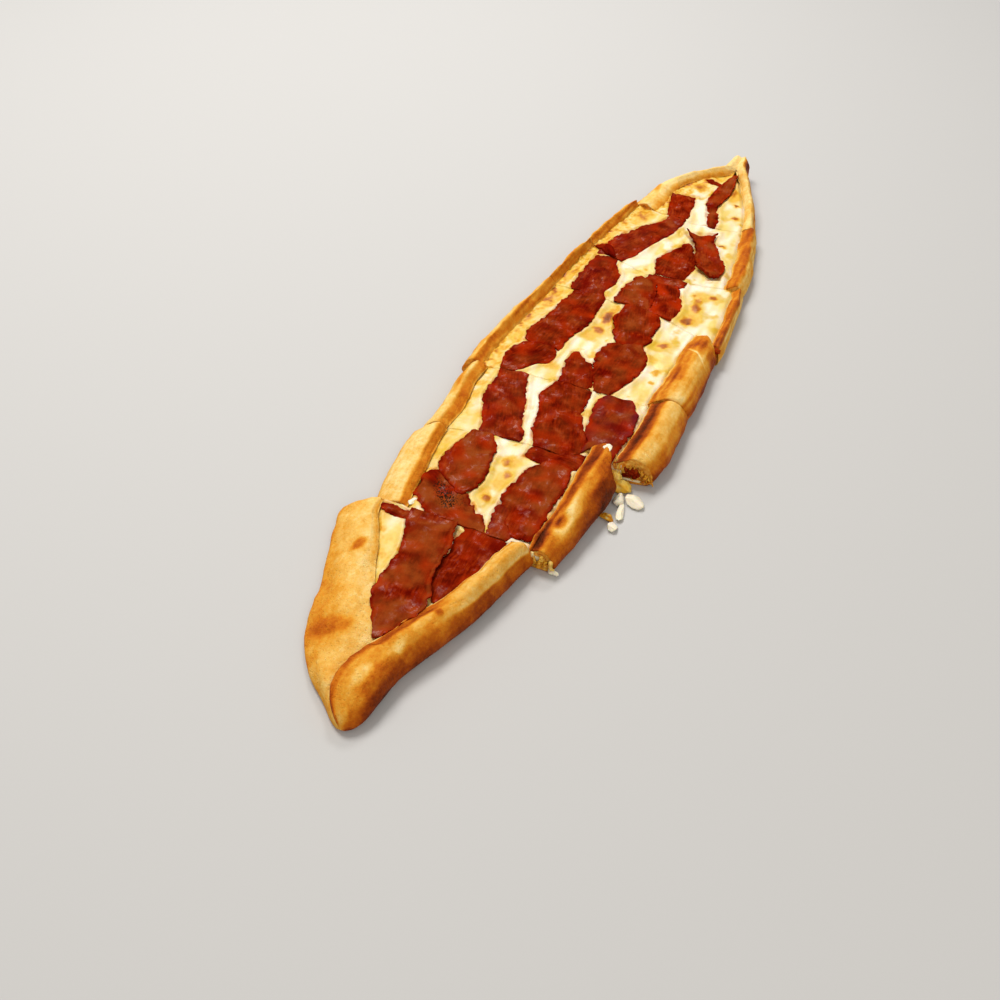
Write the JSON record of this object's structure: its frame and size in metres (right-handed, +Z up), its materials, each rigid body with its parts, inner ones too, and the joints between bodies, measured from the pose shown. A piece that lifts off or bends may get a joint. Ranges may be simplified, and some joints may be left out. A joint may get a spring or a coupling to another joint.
{
  "type": "turkish pide",
  "caption": "Long boat-shaped flatbread with folded edges, melted cheese and slices of cured beef, cut crosswise into slices that keep the whole's shape.",
  "frame": {"origin": "middle of the box in x and y, on the flat underside of the bread", "axes": "+Y along the bread towards its raised far tip, +Z up out of the filling"},
  "size_m": [0.1326, 0.525, 0.0194],
  "materials": {
    "baked_crust": "baked dough, golden with browner toasted ridges and spots, matte",
    "melted_cheese": "melted and browned cheese, cream yellow with whiter streaks and toasted blisters, softly glossy",
    "cured_beef": "thin sliced cured beef, brick red to maroon, oily sheen, darker frilled edges"
  },
  "bodies": {
    "root": {"beef_1_scrap": "cured_beef", "beef_1_under": "cured_beef", "beef_1_wide": "cured_beef", "beef_2_left": "cured_beef", "beef_2_peppered": "cured_beef", "beef_2_right": "cured_beef", "beef_2_small": "cured_beef", "beef_2_strip": "cured_beef", "beef_3_left": "cured_beef", "beef_3_middle": "cured_beef", "beef_3_right": "cured_beef", "beef_4_left": "cured_beef", "beef_4_middle": "cured_beef", "beef_4_near_left": "cured_beef", "beef_4_oval": "cured_beef", "beef_4_point": "cured_beef", "beef_5_far": "cured_beef", "beef_5_left": "cured_beef", "beef_5_middle": "cured_beef", "beef_5_red": "cured_beef", "beef_6_curled": "cured_beef", "beef_6_dark": "cured_beef", "beef_6_left": "cured_beef", "beef_6_near": "cured_beef", "beef_7_scrap": "cured_beef", "beef_7_square": "cured_beef", "beef_7_thin": "cured_beef", "beef_7_tip": "cured_beef", "cheese_1": "melted_cheese", "cheese_2": "melted_cheese", "cheese_3": "melted_cheese", "cheese_4": "melted_cheese", "cheese_5": "melted_cheese", "cheese_6": "melted_cheese", "cheese_7": "melted_cheese", "crust_1": "baked_crust", "crust_2": "baked_crust", "crust_3": "baked_crust", "crust_4": "baked_crust", "crust_5": "baked_crust", "crust_6": "baked_crust", "crust_7": "baked_crust"}
  },
  "joints": []
}
